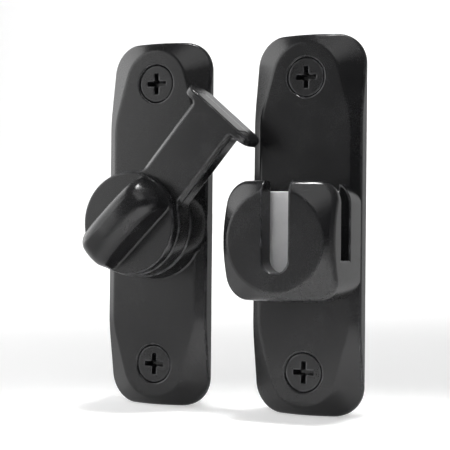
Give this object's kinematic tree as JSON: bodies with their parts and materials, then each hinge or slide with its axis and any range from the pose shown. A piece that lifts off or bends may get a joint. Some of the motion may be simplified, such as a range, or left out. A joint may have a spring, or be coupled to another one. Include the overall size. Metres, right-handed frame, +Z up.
{
  "type": "toggle bolt latch",
  "caption": "Flip latch for a sliding door: a black plate with a turning thumb knob and T-headed lever, and a slotted keeper block on a matching plate.",
  "frame": {"origin": "on the lever's pivot axis, in the plane of the backs of both plates, at the middle of the bolt unit's screw pattern", "axes": "+Z up along the plates, +X from the bolt unit to the keeper unit, -Y out of the door towards the user"},
  "size_m": [0.0648, 0.04, 0.086],
  "materials": {
    "black_casting": "satin black coating on zinc casting",
    "black_screw": "black-coated steel",
    "steel": "zinc-plated steel",
    "satin_steel": "satin stainless sheet",
    "nylon": "natural nylon",
    "fibre": "vulcanised fibre"
  },
  "bodies": {
    "bolt_unit": {"bolt_plate": "black_casting", "front_bush": "nylon", "rear_bush": "nylon", "friction_washer": "fibre", "wave_washer": "steel", "bolt_screw_top": "black_screw", "bolt_screw_bottom": "black_screw"},
    "lever_unit": {"lever": "black_casting", "thumb_knob": "black_casting", "spindle": "steel", "thrust_washer": "steel", "lock_nut": "steel", "nut_insert": "nylon"},
    "keeper_unit": {"keeper_plate": "black_casting", "keeper_block": "black_casting", "keeper_liner": "satin_steel", "block_screw_left": "steel", "block_screw_right": "steel", "keeper_screw_top": "black_screw", "keeper_screw_bottom": "black_screw"}
  },
  "joints": [
    {"name": "lever_turn", "type": "hinge", "parent": "bolt_unit", "child": "lever_unit", "pos_m": [0, -0.01, 0], "axis": [0, 1, 0], "range_deg": [-130.2, 50.9]},
    {"name": "door_slide", "type": "slide", "parent": "bolt_unit", "child": "keeper_unit", "axis": [1, 0, 0], "range_m": [0, 0.08]}
  ]
}
